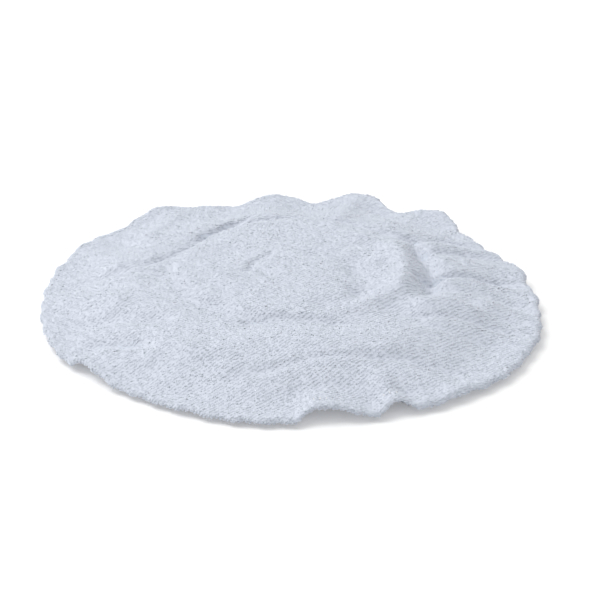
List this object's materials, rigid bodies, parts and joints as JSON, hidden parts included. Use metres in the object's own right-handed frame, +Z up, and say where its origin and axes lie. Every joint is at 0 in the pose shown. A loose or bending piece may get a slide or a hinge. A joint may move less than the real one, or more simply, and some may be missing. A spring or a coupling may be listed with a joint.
{
  "type": "terry polishing bonnet",
  "caption": "Round white terry-cloth polishing bonnet with a turned-under skirt and an elastic hem, for pulling over a polisher's pad.",
  "frame": {"origin": "on the surface that the bonnet lies on, below the middle of its outline", "axes": "+Z up, out of the working face; +X to the viewer's right and +Y away from the viewer"},
  "size_m": [0.242, 0.242, 0.02],
  "materials": {
    "terry_face": "white cotton terry, loop pile",
    "terry_skirt": "white cotton terry, loop pile, gathered",
    "thread": "white polyester sewing thread",
    "casing_tape": "white woven cotton tape, gathered",
    "elastic": "white braided elastic"
  },
  "bodies": {
    "root": {"face_panel": "terry_face", "skirt_panel": "terry_skirt", "rim_seam_thread": "thread", "rim_overlock": "thread", "hem_casing": "casing_tape", "elastic_band": "elastic", "elastic_join_tack": "thread", "hem_stitch_outer": "thread", "hem_stitch_inner": "thread", "casing_join_tack": "thread"}
  },
  "joints": []
}
